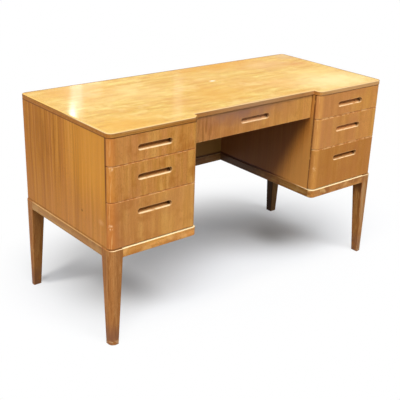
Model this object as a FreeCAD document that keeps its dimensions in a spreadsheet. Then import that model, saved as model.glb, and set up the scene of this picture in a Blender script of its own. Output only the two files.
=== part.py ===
import FreeCAD, Part
import math
import os
import Sketcher

# A double pedestal desk with a stepped top, seven drawers with routed finger pulls, and tapered legs.
# Millimetres. +Z is up, the drawers face -Y, +X is to the sitter's right, and the origin is on the
# floor under the middle of the desk. The left half is drawn, and the right half is its mirror image.

SIZES = {
    # the whole desk, measured over its top
    "desk_width": 1270,
    "desk_depth": 555,
    "desk_height": 740,
    "pedestal_width": 350,
    "front_step": 33,
    # the top
    "top_thickness": 16,
    "lipping_width": 8,
    "top_corner_radius": 20,
    "top_edge_radius": 2,
    "top_overhang": 1,
    # the carcass
    "side_thickness": 20,
    "side_back_radius": 16,
    "back_thickness": 12,
    "back_inset": 3,
    "back_rebate": 10,
    "floor_thickness": 16,
    "top_rail_width": 60,
    "top_rail_thickness": 20,
    # the drawer fronts
    "front_thickness": 21,
    "front_end_radius": 20,
    "front_edge_radius": 1,
    "front_gap": 2.5,
    "front_rest_gap": 0.3,
    "upper_front_height": 88,
    "middle_front_height": 117,
    "lower_front_height": 158,
    "centre_setback": 5.5,
    "centre_end_gap": 1.5,
    # the finger pulls
    "pull_length": 135,
    "pull_height": 20,
    "pull_depth": 14,
    "pull_lip_rise": 9,
    "pull_cove_radius": 6,
    "pull_cove_rise": 3,
    "upper_pull_drop": 44,
    "middle_pull_drop": 51,
    "lower_pull_drop": 48,
    # the drawer boxes
    "drawer_rear_gap": 57,
    "centre_rear_gap": 80,
    "drawer_side_thickness": 12,
    "drawer_side_gap": 3,
    "centre_side_gap": 10,
    "drawer_foot_gap": 4.5,
    "drawer_head_gap": 4.5,
    "drawer_back_thickness": 10,
    "drawer_bottom_thickness": 5,
    "drawer_bottom_rise": 8,
    "bottom_groove_depth": 5,
    "front_housing_depth": 8,
    "joint_clearance": 0.15,
    # the runners
    "runner_height": 12,
    "runner_setback": 12,
    "runner_end_inset": 8,
    "runner_engagement": 6,
    "runner_clearance": 0.3,
    "groove_lead": 3,
    # the base frame
    "base_rail_height": 32,
    "base_rail_thickness": 20,
    "base_proud": 3,
    "base_corner_radius": 19,
    "base_edge_radius": 3,
    "tenon_wall": 25,
    "tenon_thickness": 8,
    "tenon_shoulder": 6,
    "corner_block_size": 44,
    "corner_block_inset": 6,
    # the legs
    "leg_top_size": 50,
    "leg_foot_size": 31,
    "leg_corner_radius": 20,
    "leg_edge_radius": 3,
    "foot_chamfer": 1.5,
    # the wood screws
    "screw_radius": 2,
    "screw_head_radius": 4,
    "screw_head_depth": 2.5,
    "screw_cover": 5,
    "screw_clearance": 0.15,
    "screw_end_distance": 60,
    # the flat that a rounding always leaves beside it
    "least_flat": 1,
}

# Levels and planes that several pieces share, worked out from the sizes.
LAYOUT = {
    "left": "-sizes.desk_width / 2",
    "front": "-sizes.desk_depth / 2",
    "back": "sizes.desk_depth / 2",
    "carcass_top": "sizes.desk_height - sizes.top_thickness",
    "carcass_left": "layout.left + sizes.top_overhang",
    "carcass_inner": "layout.left + sizes.pedestal_width - sizes.top_overhang",
    "carcass_front": "layout.front + sizes.top_overhang",
    "carcass_back": "layout.back - sizes.top_overhang",
    "side_front": "layout.carcass_front + sizes.front_thickness + sizes.front_rest_gap",
    "back_face": "layout.carcass_back - sizes.back_inset",
    "back_front": "layout.back_face - sizes.back_thickness",
    "bay_left": "layout.carcass_left + sizes.side_thickness",
    "bay_right": "layout.carcass_inner - sizes.side_thickness",
    "bay_width": "layout.bay_right - layout.bay_left",
    "bay_depth": "layout.back_front - layout.side_front",
    "bay_centre": "(layout.carcass_left + layout.carcass_inner) / 2",
    "centre_face": "layout.front + sizes.front_step + sizes.centre_setback",
    "centre_side_front": "layout.centre_face + sizes.front_thickness",
    "upper_top": "layout.carcass_top - sizes.front_gap",
    "upper_low": "layout.upper_top - sizes.upper_front_height",
    "middle_top": "layout.upper_low - sizes.front_gap",
    "middle_low": "layout.middle_top - sizes.middle_front_height",
    "lower_top": "layout.middle_low - sizes.front_gap",
    "lower_low": "layout.lower_top - sizes.lower_front_height",
    "base_top": "layout.lower_low - sizes.front_gap",
    "base_clearance": "layout.base_top - sizes.base_rail_height",
    "carcass_height": "layout.carcass_top - layout.base_top",
    "drawer_side_rise": "sizes.floor_thickness + sizes.drawer_foot_gap - sizes.front_gap",
    "drawer_side_drop": "sizes.top_rail_thickness + sizes.drawer_head_gap - sizes.front_gap",
    "drawer_start": "layout.carcass_front + sizes.front_thickness",
    "drawer_length": "layout.back_front - layout.drawer_start - sizes.drawer_rear_gap",
    "centre_drawer_length": "layout.back_front - layout.centre_side_front - sizes.centre_rear_gap",
    "runner_length": "layout.drawer_length - sizes.runner_setback - sizes.runner_end_inset",
    "centre_runner_length": "layout.centre_drawer_length - sizes.runner_setback - sizes.runner_end_inset",
    "base_left": "layout.carcass_left - sizes.base_proud",
    "base_inner": "layout.carcass_inner + sizes.base_proud",
    "base_front": "layout.carcass_front - sizes.base_proud",
    "base_back": "layout.carcass_back + sizes.base_proud",
    "tenon_length": "sizes.leg_top_size - sizes.tenon_wall",
    "corner_block_height": "sizes.base_rail_height - sizes.corner_block_inset",
    # roundings, none larger than its wall leaves room for
    "panel_corner_radius": "max(sizes.top_corner_radius - sizes.lipping_width; sizes.least_flat)",
    "side_back_radius": "min(sizes.side_back_radius; sizes.side_thickness - sizes.least_flat)",
    "front_end_radius": "min(sizes.front_end_radius; sizes.front_thickness - sizes.least_flat)",
    "pull_cove_radius": "min(sizes.pull_cove_radius; sizes.pull_depth / 2 - sizes.least_flat)",
    "base_corner_radius": "min(sizes.base_corner_radius; sizes.base_rail_thickness - sizes.least_flat)",
    "leg_straight": "sizes.leg_foot_size - sizes.leg_edge_radius - sizes.least_flat",
    "leg_corner_radius": "min(sizes.leg_corner_radius; layout.leg_straight)",
    "foot_chamfer": "min(sizes.foot_chamfer; sizes.leg_edge_radius - sizes.least_flat)",
}

TIERS = ("upper", "middle", "lower")

document = FreeCAD.newDocument("double_pedestal_desk")
nodes = []


def fill_sheet(name, cells, prefix):
    """Write one named value per row, with the name as its alias."""
    sheet = document.addObject("Spreadsheet::Sheet", name)
    for row, alias in enumerate(cells, start=1):
        cell = "B%d" % row
        sheet.set("A%d" % row, alias)
        sheet.setAlias(cell, alias)
        sheet.set(cell, prefix + str(cells[alias]))
    return sheet


sizes = fill_sheet("sizes", SIZES, "")
layout = fill_sheet("layout", LAYOUT, "=")
reader = document.addObject("Spreadsheet::Sheet", "reader")
document.recompute()


def number(expression):
    """The present value of an expression, used to find edges and to start sketches."""
    reader.set("A1", "=" + expression)
    reader.recompute()
    return float(reader.get("A1"))


def node(piece, name):
    """Mark a finished piece as a sub-part that is written to its own file."""
    piece.Label = name
    nodes.append(piece)
    return piece


def place(feature, corner):
    for axis, expression in zip("xyz", corner):
        feature.setExpression("Placement.Base." + axis, expression)


def size_box(feature, corner, size):
    place(feature, corner)
    for side, expression in zip(("Length", "Width", "Height"), size):
        feature.setExpression(side, expression)


def board(name, corner, size):
    """A plain board, sawn square."""
    piece = document.addObject("Part::Box", name)
    size_box(piece, corner, size)
    return piece


def new_body(name, corner):
    body = document.addObject("PartDesign::Body", name)
    place(body, corner)
    return body


def add_block(body, name, corner, size):
    size_box(body.newObject("PartDesign::AdditiveBox", name), corner, size)


def cut_block(body, name, corner, size):
    size_box(body.newObject("PartDesign::SubtractiveBox", name), corner, size)


def edges_through(shape, points):
    """Names of the edges that pass through the given points."""
    found = []
    for point in points:
        vertex = Part.Vertex(FreeCAD.Vector(*[number(value) for value in point]))
        distances = [edge.distToShape(vertex)[0] for edge in shape.Edges]
        name = "Edge%d" % (distances.index(min(distances)) + 1)
        if name not in found:
            found.append(name)
    return found


def round_edges(body, name, radius, points):
    document.recompute()
    base = body.Tip
    rounding = body.newObject("PartDesign::Fillet", name)
    rounding.Base = (base, edges_through(base.Shape, points))
    rounding.setExpression("Radius", radius)


def polygon_sketch(body, name, corners):
    """A closed outline of straight lines, each corner held by two named distances from the origin."""
    sketch = body.newObject("Sketcher::SketchObject", name)
    plane = [item for item in body.Origin.OriginFeatures if item.Role == "XY_Plane"][0]
    sketch.AttachmentSupport = [(plane, "")]
    sketch.MapMode = "FlatFace"
    points = [FreeCAD.Vector(number(x), number(y), 0) for x, y in corners]
    count = len(points)
    for index in range(count):
        sketch.addGeometry(Part.LineSegment(points[index], points[(index + 1) % count]))
    for index in range(count):
        sketch.addConstraint(Sketcher.Constraint("Coincident", index, 2, (index + 1) % count, 1))
    for index, corner in enumerate(corners):
        for axis, expression, value in zip("XY", corner, points[index]):
            held = sketch.addConstraint(Sketcher.Constraint("Distance" + axis, -1, 1, index, 1, value))
            label = "corner%d%s" % (index, axis)
            sketch.renameConstraint(held, label)
            sketch.setExpression("Constraints." + label, expression)
    return sketch


def pad(body, name, sketch, length):
    feature = body.newObject("PartDesign::Pad", name)
    feature.Profile = sketch
    feature.setExpression("Length", length)


def joined(name, kind, pieces):
    """Several pieces as one object: a fused solid, a common solid or a loose group."""
    result = document.addObject(kind, name)
    if kind == "Part::Compound":
        result.Links = pieces
    else:
        result.Shapes = pieces
    return result


def cut_away(name, piece, tools):
    result = document.addObject("Part::Cut", name)
    result.Base = piece
    result.Tool = tools[0] if len(tools) == 1 else joined(name + "_tools", "Part::Compound", tools)
    return result


def mirrored(name, piece, axis="x", plane="0"):
    """A mirror image across the plane at a place along X or Y."""
    image = document.addObject("Part::Mirroring", name)
    image.Source = piece
    image.Normal = FreeCAD.Vector(axis == "x", axis == "y", 0)
    image.setExpression("Base." + axis, plane)
    return image


def right_node(left_piece):
    """The right half's piece, made from the finished left one."""
    name = left_piece.Label.replace("left", "right")
    return node(mirrored(name, left_piece), name)


def wood_screw(name, head, direction, length, grow=None):
    """A countersunk screw from its head's flat face, or the hole for it when it is grown."""
    extra = " + " + grow if grow else ""
    turn = FreeCAD.Rotation(FreeCAD.Vector(0, 0, 1), FreeCAD.Vector(*direction))
    shank = document.addObject("Part::Cylinder", name + "_shank")
    shank.setExpression("Radius", "sizes.screw_radius" + extra)
    shank.setExpression("Height", length + extra)
    cone = document.addObject("Part::Cone", name + "_head")
    cone.setExpression("Radius1", "sizes.screw_head_radius" + extra)
    cone.setExpression("Radius2", "sizes.screw_radius" + extra)
    cone.setExpression("Height", "sizes.screw_head_depth")
    for feature in (shank, cone):
        feature.Placement = FreeCAD.Placement(FreeCAD.Vector(), turn)
        place(feature, head)
    return joined(name, "Part::MultiFuse", [shank, cone])


def screws_and_holes(name, heads, direction, length):
    """A row of like screws as one group, and the group of holes that they sit in."""
    screws = []
    holes = []
    for index, head in enumerate(heads):
        label = "%s_%d" % (name, index)
        screws.append(wood_screw(label, head, direction, length))
        holes.append(wood_screw(label + "_hole", head, direction, length, "sizes.screw_clearance"))
    return joined(name, "Part::Compound", screws), joined(name + "_holes", "Part::Compound", holes)


# The top: a stepped board with a solid lipping glued round it.

def top_outline(inset):
    """Corners of the stepped outline, measured from the middle of the desk."""
    left = "layout.left + " + inset
    right = "-(" + left + ")"
    inner_left = "layout.left + sizes.pedestal_width - " + inset
    inner_right = "-(" + inner_left + ")"
    front = "layout.front + " + inset
    recess = "layout.front + sizes.front_step + " + inset
    back = "layout.back - " + inset
    return [
        (left, front),
        (inner_left, front),
        (inner_left, recess),
        (inner_right, recess),
        (inner_right, front),
        (right, front),
        (right, back),
        (left, back),
    ]


def top_board(name, inset, corner_radius):
    """A board of the top's outline with its six convex corners rounded."""
    body = new_body(name, ("0", "0", "layout.carcass_top"))
    outline = top_outline(inset)
    pad(body, name + "_pad", polygon_sketch(body, name + "_outline", outline), "sizes.top_thickness")
    convex = [outline[index] + ("sizes.top_thickness / 2",) for index in (0, 1, 4, 5, 6, 7)]
    round_edges(body, name + "_corners", corner_radius, convex)
    return body


panel_blank = top_board("panel_blank", "sizes.lipping_width", "layout.panel_corner_radius")

lipping_blank = top_board("lipping_blank", "0", "sizes.top_corner_radius")
round_edges(lipping_blank, "lipping_edge", "sizes.top_edge_radius",
            [("layout.left", "0", "sizes.top_thickness"),
             ("0", "layout.front + sizes.front_step", "sizes.top_thickness")])
node(cut_away("lipping", lipping_blank, [panel_blank]), "desktop_lipping")

# The left pedestal's carcass: two sides, a floor and two rails under the top.

outer_side = new_body("outer_side", ("layout.carcass_left", "layout.side_front", "layout.base_top"))
outer_side_depth = "(layout.carcass_back - layout.side_front)"
rebate_start = "layout.back_front - layout.side_front"
add_block(outer_side, "outer_side_board", ("0", "0", "0"),
          ("sizes.side_thickness", outer_side_depth, "layout.carcass_height"))
round_edges(outer_side, "outer_side_back_edge", "layout.side_back_radius",
            [("0", outer_side_depth, "layout.carcass_height / 2")])
cut_block(outer_side, "outer_side_rebate",
          ("sizes.side_thickness - sizes.back_rebate", rebate_start, "0"),
          ("sizes.back_rebate", "layout.carcass_back - layout.back_front", "layout.carcass_height"))

inner_side = board("inner_side", ("layout.bay_right", "layout.side_front", "layout.base_top"),
                   ("sizes.side_thickness", "layout.bay_depth", "layout.carcass_height"))

pedestal_floor = board("pedestal_floor", ("layout.bay_left", "layout.side_front", "layout.base_top"),
                       ("layout.bay_width", "layout.bay_depth", "sizes.floor_thickness"))

top_rail_low = "layout.carcass_top - sizes.top_rail_thickness"
top_rail_size = ("layout.bay_width", "sizes.top_rail_width", "sizes.top_rail_thickness")
front_top_rail = board("front_top_rail",
                       ("layout.bay_left", "layout.side_front", top_rail_low),
                       top_rail_size)
rear_top_rail = board("rear_top_rail",
                      ("layout.bay_left", "layout.back_front - sizes.top_rail_width", top_rail_low),
                      top_rail_size)

back_left = "(layout.bay_left - sizes.back_rebate)"
node(board("back_board", (back_left, "layout.back_front", "layout.base_top"),
           ("-2 * " + back_left, "sizes.back_thickness", "layout.carcass_height")), "back_panel")

# Screws up through the top rails into the top.

top_screw_rows = ("layout.side_front + sizes.top_rail_width / 2",
                  "layout.back_front - sizes.top_rail_width / 2")
top_screw_ends = ("layout.bay_left + sizes.screw_end_distance",
                  "layout.bay_right - sizes.screw_end_distance")
top_screw_heads = [(end_x, row_y, top_rail_low) for row_y in top_screw_rows for end_x in top_screw_ends]
left_top_screws, left_top_holes = screws_and_holes(
    "left_top_screws", top_screw_heads, (0, 0, 1),
    "(sizes.top_rail_thickness + sizes.top_thickness - sizes.screw_cover)")
right_top_holes = mirrored("right_top_holes", left_top_holes)
node(joined("all_top_screws", "Part::Compound",
            [left_top_screws, mirrored("right_top_screws", left_top_screws)]), "top_screws")
node(cut_away("panel", panel_blank, [left_top_holes, right_top_holes]), "desktop_panel")
for rail, name in ((front_top_rail, "left_front_top_rail"), (rear_top_rail, "left_rear_top_rail")):
    right_node(node(cut_away(rail.Name + "_drilled", rail, [left_top_holes]), name))

# The base frame: front, outer and inner rails under each pedestal, and one rail along the whole back.


def rail_body(name, corner, length, along, tenons, rounded):
    """A rail along X or Y with tenons at the ends named, rounded on the edges through the points."""
    body = new_body(name, corner)
    thickness = "sizes.base_rail_thickness"
    height = "sizes.base_rail_height"
    size = (length, thickness, height) if along == "x" else (thickness, length, height)
    add_block(body, name + "_board", ("0", "0", "0"), size)
    for radius, points in rounded:
        round_edges(body, name + "_edge_" + radius.split(".")[1], radius, points)
    across = "(sizes.base_rail_thickness - sizes.tenon_thickness) / 2"
    tenon_height = "sizes.base_rail_height - 2 * sizes.tenon_shoulder"
    for end in tenons:
        start = length if end == "high" else "-layout.tenon_length"
        if along == "x":
            tenon_corner = (start, across, "sizes.tenon_shoulder")
            tenon_size = ("layout.tenon_length", "sizes.tenon_thickness", tenon_height)
        else:
            tenon_corner = (across, start, "sizes.tenon_shoulder")
            tenon_size = ("sizes.tenon_thickness", "layout.tenon_length", tenon_height)
        add_block(body, name + "_tenon_" + end, tenon_corner, tenon_size)
    return body


front_rail_length = "(layout.base_inner - layout.base_left - sizes.leg_top_size)"
front_rail = rail_body(
    "front_rail",
    ("layout.base_left + sizes.leg_top_size", "layout.base_front", "layout.base_clearance"),
    front_rail_length, "x", ["low"],
    [
        ("layout.base_corner_radius", [(front_rail_length, "0", "sizes.base_rail_height / 2")]),
        ("sizes.base_edge_radius", [
            (front_rail_length + " / 2", "0", "sizes.base_rail_height"),
            (front_rail_length + " / 2", "0", "0"),
        ]),
    ])
right_node(node(front_rail, "left_front_base_rail"))

outer_rail_length = "(layout.base_back - layout.base_front - 2 * sizes.leg_top_size)"
outer_rail = rail_body(
    "outer_rail",
    ("layout.base_left", "layout.base_front + sizes.leg_top_size", "layout.base_clearance"),
    outer_rail_length, "y", ["low", "high"],
    [("sizes.base_edge_radius", [("0", outer_rail_length + " / 2", "sizes.base_rail_height"),
                                 ("0", outer_rail_length + " / 2", "0")])])
right_node(node(outer_rail, "left_outer_base_rail"))

inner_rail_length = "(layout.base_back - layout.base_front - 2 * sizes.base_rail_thickness)"
inner_rail = rail_body(
    "inner_rail",
    ("layout.base_inner - sizes.base_rail_thickness", "layout.base_front + sizes.base_rail_thickness",
     "layout.base_clearance"),
    inner_rail_length, "y", [],
    [("sizes.base_edge_radius",
      [("sizes.base_rail_thickness", inner_rail_length + " / 2", "sizes.base_rail_height"),
       ("sizes.base_rail_thickness", inner_rail_length + " / 2", "0")])])
right_node(node(inner_rail, "left_inner_base_rail"))

back_rail_start = "(layout.base_left + sizes.leg_top_size)"
back_rail_length = "(-2 * " + back_rail_start + ")"
back_rail = rail_body(
    "back_rail",
    (back_rail_start, "layout.base_back - sizes.base_rail_thickness", "layout.base_clearance"),
    back_rail_length, "x", ["low", "high"],
    [("sizes.base_edge_radius",
      [(back_rail_length + " / 2", "sizes.base_rail_thickness", "sizes.base_rail_height"),
       (back_rail_length + " / 2", "sizes.base_rail_thickness", "0")])])
node(back_rail, "back_base_rail")

# Glue blocks in the inner corners of the base frame, screwed up into the pedestal floors.

block_corner_x = "layout.base_inner - sizes.base_rail_thickness"
block_low = "layout.base_top - layout.corner_block_height"
block_corners_y = {
    "front": ("layout.base_front + sizes.base_rail_thickness", ""),
    "rear": ("layout.base_back - sizes.base_rail_thickness", "-"),
}
blocks = []
block_screw_heads = []
for end, (corner_y, sign) in block_corners_y.items():
    block = new_body(end + "_block", (block_corner_x, corner_y, block_low))
    outline = [("0", "0"), ("-sizes.corner_block_size", "0"), ("0", sign + "sizes.corner_block_size")]
    pad(block, end + "_block_pad", polygon_sketch(block, end + "_block_outline", outline),
        "layout.corner_block_height")
    blocks.append(block)
    block_screw_heads.append((block_corner_x + " - sizes.corner_block_size / 3",
                              corner_y + " + " + sign + "sizes.corner_block_size / 3", block_low))
left_base_screws, left_base_holes = screws_and_holes(
    "left_base_screws", block_screw_heads, (0, 0, 1),
    "(layout.corner_block_height + sizes.floor_thickness - sizes.screw_cover)")
node(joined("all_base_screws", "Part::Compound",
            [left_base_screws, mirrored("right_base_screws", left_base_screws)]), "base_screws")
drilled_blocks = [cut_away(block.Name + "_drilled", block, [left_base_holes]) for block in blocks]
left_blocks = joined("left_corner_blocks", "Part::Compound", drilled_blocks)
node(joined("all_corner_blocks", "Part::Compound",
            [left_blocks, mirrored("right_corner_blocks", left_blocks)]), "base_corner_blocks")
right_node(node(cut_away("floor_drilled", pedestal_floor, [left_base_holes]), "left_pedestal_floor"))

# The legs: a square block that the rails are tenoned into, over a shaft tapered on its two inner faces.


def leg_section(body, name, size, level):
    """A square with its outer corner well rounded and the other three corners eased, at a level."""
    sketch = body.newObject("Sketcher::SketchObject", name)
    plane = [item for item in body.Origin.OriginFeatures if item.Role == "XY_Plane"][0]
    sketch.AttachmentSupport = [(plane, "")]
    sketch.MapMode = "FlatFace"
    sketch.setExpression("AttachmentOffset.Base.z", level)
    radii = ["sizes.leg_edge_radius"] * 3 + ["layout.leg_corner_radius"]
    side = number(size)
    corners = [(side, 0), (side, side), (0, side), (0, 0)]
    directions = [(1, 0), (0, 1), (-1, 0), (0, -1)]
    up = FreeCAD.Vector(0, 0, 1)
    for index, (x, y) in enumerate(corners):
        last_x, last_y = corners[index - 1]
        along = FreeCAD.Vector(*directions[index], 0)
        turned = FreeCAD.Vector(*directions[(index + 1) % 4], 0)
        radius = number(radii[index])
        line_start = FreeCAD.Vector(last_x, last_y, 0) + along * number(radii[index - 1])
        line_end = FreeCAD.Vector(x, y, 0) - along * radius
        sketch.addGeometry(Part.LineSegment(line_start, line_end))
        first_angle = (index - 1) * math.pi / 2
        circle = Part.Circle(line_end + turned * radius, up, radius)
        sketch.addGeometry(Part.ArcOfCircle(circle, first_angle, first_angle + math.pi / 2))
    for index in range(8):
        sketch.addConstraint(Sketcher.Constraint("Tangent", index, 2, (index + 1) % 8, 1))
    for index in range(4):
        line = 2 * index
        sketch.addConstraint(Sketcher.Constraint("Vertical" if index % 2 else "Horizontal", line))
        held = sketch.addConstraint(Sketcher.Constraint("Radius", line + 1, number(radii[index])))
        sketch.renameConstraint(held, "radius%d" % index)
        sketch.setExpression("Constraints.radius%d" % index, radii[index])
    sketch.addConstraint(Sketcher.Constraint("PointOnObject", 0, 1, -1))
    sketch.addConstraint(Sketcher.Constraint("PointOnObject", 6, 1, -2))
    for axis, line in (("X", 2), ("Y", 4)):
        held = sketch.addConstraint(Sketcher.Constraint("Distance" + axis, -1, 1, line, 1, side))
        sketch.renameConstraint(held, "side" + axis)
        sketch.setExpression("Constraints.side" + axis, size)
    return sketch


leg_size = "sizes.leg_top_size"
leg = new_body("leg", ("layout.base_left", "layout.base_front", "0"))
add_block(leg, "leg_block", ("0", "0", "layout.base_clearance"),
          (leg_size, leg_size, "sizes.base_rail_height"))
round_edges(leg, "leg_block_corner", "layout.leg_corner_radius",
            [("0", "0", "layout.base_clearance + sizes.base_rail_height / 2")])
round_edges(leg, "leg_block_edge", "sizes.base_edge_radius", [(leg_size, "0", "layout.base_top")])
shaft = leg.newObject("PartDesign::AdditiveLoft", "leg_shaft")
shaft.Profile = leg_section(leg, "leg_shoulder", leg_size, "layout.base_clearance")
shaft.Sections = [leg_section(leg, "leg_foot", "sizes.leg_foot_size", "0")]
shaft.Ruled = True
document.recompute()
leg_tip = leg.Tip
foot_edges = ["Edge%d" % (index + 1) for index, edge in enumerate(leg_tip.Shape.Edges)
              if edge.BoundBox.ZMax < number("layout.foot_chamfer") / 2]
foot = leg.newObject("PartDesign::Chamfer", "leg_foot_chamfer")
foot.Base = (leg_tip, foot_edges)
foot.setExpression("Size", "layout.foot_chamfer")

mortise_across = "(sizes.base_rail_thickness - sizes.tenon_thickness) / 2 - sizes.joint_clearance"
mortise_low = "layout.base_clearance + sizes.tenon_shoulder - sizes.joint_clearance"
mortise_width = "sizes.tenon_thickness + 2 * sizes.joint_clearance"
mortise_height = "sizes.base_rail_height - 2 * sizes.tenon_shoulder + 2 * sizes.joint_clearance"
mortise_depth = "layout.tenon_length + sizes.joint_clearance"
mortise_start = leg_size + " - (" + mortise_depth + ")"
cut_block(leg, "leg_front_mortise", (mortise_start, mortise_across, mortise_low),
          (mortise_depth, mortise_width, mortise_height))
cut_block(leg, "leg_side_mortise", (mortise_across, mortise_start, mortise_low),
          (mortise_width, mortise_depth, mortise_height))
right_node(node(leg, "front_left_leg"))
right_node(node(mirrored("rear_leg", leg, "y"), "rear_left_leg"))

# Drawers: a front with its finger pull, two grooved sides, a back, and a thin bottom in grooves.


def finger_pull(name, centre_x, face_y, centre_z):
    """The routed recess: a slot with round ends, a bevelled lower lip, and a cove behind its upper lip."""
    straight = "(sizes.pull_length - sizes.pull_height)"
    inward = FreeCAD.Rotation(FreeCAD.Vector(1, 0, 0), -90)
    sideways = FreeCAD.Rotation(FreeCAD.Vector(0, 1, 0), 90)
    low = centre_z + " - sizes.pull_height / 2"
    slot = [board(name + "_middle", (centre_x + " - " + straight + " / 2", face_y, low),
                  (straight, "sizes.pull_depth", "sizes.pull_height"))]
    for end, sign in (("left_end", " - "), ("right_end", " + ")):
        round_end = document.addObject("Part::Cylinder", name + "_" + end)
        round_end.Placement = FreeCAD.Placement(FreeCAD.Vector(), inward)
        place(round_end, (centre_x + sign + straight + " / 2", face_y, centre_z))
        round_end.setExpression("Radius", "sizes.pull_height / 2")
        round_end.setExpression("Height", "sizes.pull_depth")
        slot.append(round_end)
    lip = document.addObject("Part::Wedge", name + "_lip")
    place(lip, (centre_x + " - sizes.pull_length / 2", face_y, low))
    lip_sides = {
        "Ymin": "0", "Ymax": "sizes.pull_depth",
        "Xmin": "0", "Xmax": "sizes.pull_length",
        "Zmin": "0", "Zmax": "sizes.pull_height",
        "X2min": "0", "X2max": "sizes.pull_length",
        "Z2min": "sizes.pull_lip_rise", "Z2max": "sizes.pull_height",
    }
    for side, expression in lip_sides.items():
        lip.setExpression(side, expression)
    whole_slot = joined(name + "_slot", "Part::MultiFuse", slot)
    bevelled = joined(name + "_bevelled", "Part::MultiCommon", [whole_slot, lip])
    cove = document.addObject("Part::Cylinder", name + "_cove")
    cove.Placement = FreeCAD.Placement(FreeCAD.Vector(), sideways)
    place(cove, (centre_x + " - " + straight + " / 2",
                 face_y + " + sizes.pull_depth - layout.pull_cove_radius",
                 centre_z + " + sizes.pull_height / 2 + sizes.pull_cove_rise - layout.pull_cove_radius"))
    cove.setExpression("Radius", "layout.pull_cove_radius")
    cove.setExpression("Height", straight)
    return joined(name, "Part::MultiFuse", [bevelled, cove])


def drawer_front(name, front_left, front_width, face_y, low, top, box_left, box_width,
                 pull_drop, end_radius):
    """A front board, rounded at its ends where it overlays the carcass, housed for the drawer's sides."""
    body = new_body(name + "_board", (front_left, face_y, low))
    height = "(" + top + " - " + low + ")"
    thickness = "sizes.front_thickness"
    add_block(body, name + "_blank", ("0", "0", "0"), (front_width, thickness, height))
    end_edges = [("0", "0", height + " / 2"), (front_width, "0", height + " / 2")]
    long_edges = [(front_width + " / 2", "0", "0"), (front_width + " / 2", "0", height)]
    if end_radius == "sizes.front_edge_radius":
        round_edges(body, name + "_edges", end_radius, end_edges + long_edges)
    else:
        round_edges(body, name + "_ends", end_radius, end_edges)
        round_edges(body, name + "_edges", "sizes.front_edge_radius", long_edges)
    clearance = "sizes.joint_clearance"
    housing_size = ("sizes.drawer_side_thickness + 2 * " + clearance,
                    "sizes.front_housing_depth + " + clearance,
                    height + " - layout.drawer_side_rise - layout.drawer_side_drop + 2 * " + clearance)
    housing_y = thickness + " - sizes.front_housing_depth - " + clearance
    housing_z = "layout.drawer_side_rise - " + clearance
    first = "(" + box_left + " - (" + front_left + "))"
    last = first + " + " + box_width + " - sizes.drawer_side_thickness"
    for end, start in (("left", first), ("right", last)):
        cut_block(body, name + "_housing_" + end,
                  (start + " - " + clearance, housing_y, housing_z), housing_size)
    cut_block(body, name + "_bottom_groove",
              (first, thickness + " - sizes.bottom_groove_depth - " + clearance,
               "layout.drawer_side_rise + sizes.drawer_bottom_rise - " + clearance),
              (box_width, "sizes.bottom_groove_depth + " + clearance,
               "sizes.drawer_bottom_thickness + 2 * " + clearance))
    middle = front_left + " + " + front_width + " / 2"
    pull = finger_pull(name + "_pull", middle, face_y, top + " - " + pull_drop)
    return node(cut_away(name + "_cut", body, [pull]), name)


def drawer_sides(name, box_left, box_width, side_front, low, top, length):
    """The pair of sides, grooved outside for the runners and inside for the bottom."""
    side_low = low + " + layout.drawer_side_rise"
    height = "(" + top + " - " + low + " - layout.drawer_side_rise - layout.drawer_side_drop)"
    full_length = "(" + length + " + sizes.front_housing_depth)"
    side = new_body(name + "_left", (box_left, side_front + " - sizes.front_housing_depth", side_low))
    add_block(side, name + "_board", ("0", "0", "0"), ("sizes.drawer_side_thickness", full_length, height))
    runner_start = "sizes.front_housing_depth + sizes.runner_setback - sizes.groove_lead"
    cut_block(side, name + "_runner_groove",
              ("0", runner_start, height + " / 2 - sizes.runner_height / 2 - sizes.runner_clearance"),
              ("sizes.runner_engagement + sizes.runner_clearance", full_length,
               "sizes.runner_height + 2 * sizes.runner_clearance"))
    cut_block(side, name + "_bottom_groove",
              ("sizes.drawer_side_thickness - sizes.bottom_groove_depth", "0",
               "sizes.drawer_bottom_rise - sizes.joint_clearance"),
              ("sizes.bottom_groove_depth", full_length,
               "sizes.drawer_bottom_thickness + 2 * sizes.joint_clearance"))
    other = mirrored(name + "_right", side, "x", box_left + " + " + box_width + " / 2")
    return node(joined(name + "_pair", "Part::Compound", [side, other]), name)


def drawer(name, front_left, front_width, face_y, low, top, box_left, box_width,
           length, pull_drop, end_radius):
    """All the pieces of one drawer."""
    side_front = face_y + " + sizes.front_thickness"
    rear = side_front + " + " + length
    inside_left = box_left + " + sizes.drawer_side_thickness"
    inside_width = box_width + " - 2 * sizes.drawer_side_thickness"
    bottom_low = low + " + layout.drawer_side_rise + sizes.drawer_bottom_rise"
    bottom_reach = "(sizes.bottom_groove_depth - sizes.joint_clearance)"
    back_low = bottom_low + " + sizes.drawer_bottom_thickness + sizes.joint_clearance"
    return [
        drawer_front(name + "_front", front_left, front_width, face_y, low, top, box_left, box_width,
                     pull_drop, end_radius),
        drawer_sides(name + "_drawer_sides", box_left, box_width, side_front, low, top, length),
        node(board(name + "_back_board", (inside_left, rear + " - sizes.drawer_back_thickness", back_low),
                   (inside_width, "sizes.drawer_back_thickness",
                    top + " - layout.drawer_side_drop - (" + back_low + ")")), name + "_drawer_back"),
        node(board(name + "_bottom_board",
                   (inside_left + " - " + bottom_reach, side_front + " - " + bottom_reach, bottom_low),
                   (inside_width + " + 2 * " + bottom_reach, length + " + " + bottom_reach,
                    "sizes.drawer_bottom_thickness")), name + "_drawer_bottom"),
    ]


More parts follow.
